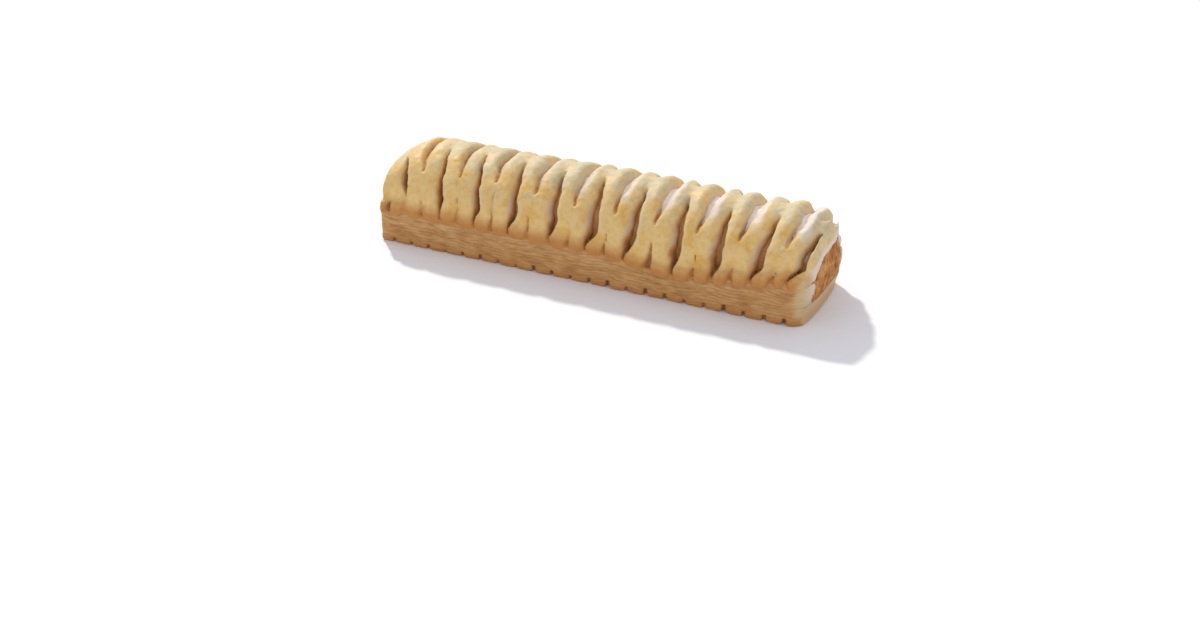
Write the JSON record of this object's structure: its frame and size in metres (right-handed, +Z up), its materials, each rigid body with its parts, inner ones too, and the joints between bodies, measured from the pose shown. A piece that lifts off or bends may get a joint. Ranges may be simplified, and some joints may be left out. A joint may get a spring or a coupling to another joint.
{
  "type": "sausage roll",
  "caption": "Long baked puff pastry bar with an opened lattice top over a savoury filling, cut across at both ends, served as food.",
  "frame": {"origin": "middle of the bar's bottom, on the surface it rests on", "axes": "+X along the bar towards the fuller cut end, +Z up through the lattice, -Y the near long side"},
  "size_m": [0.205, 0.051, 0.0443],
  "materials": {
    "golden_pastry": "satin",
    "flaky_side": "matt",
    "filling": "moist"
  },
  "bodies": {
    "root": {"pastry_base": "flaky_side", "sausage_filling": "filling", "pastry_lattice": "golden_pastry"}
  },
  "joints": []
}
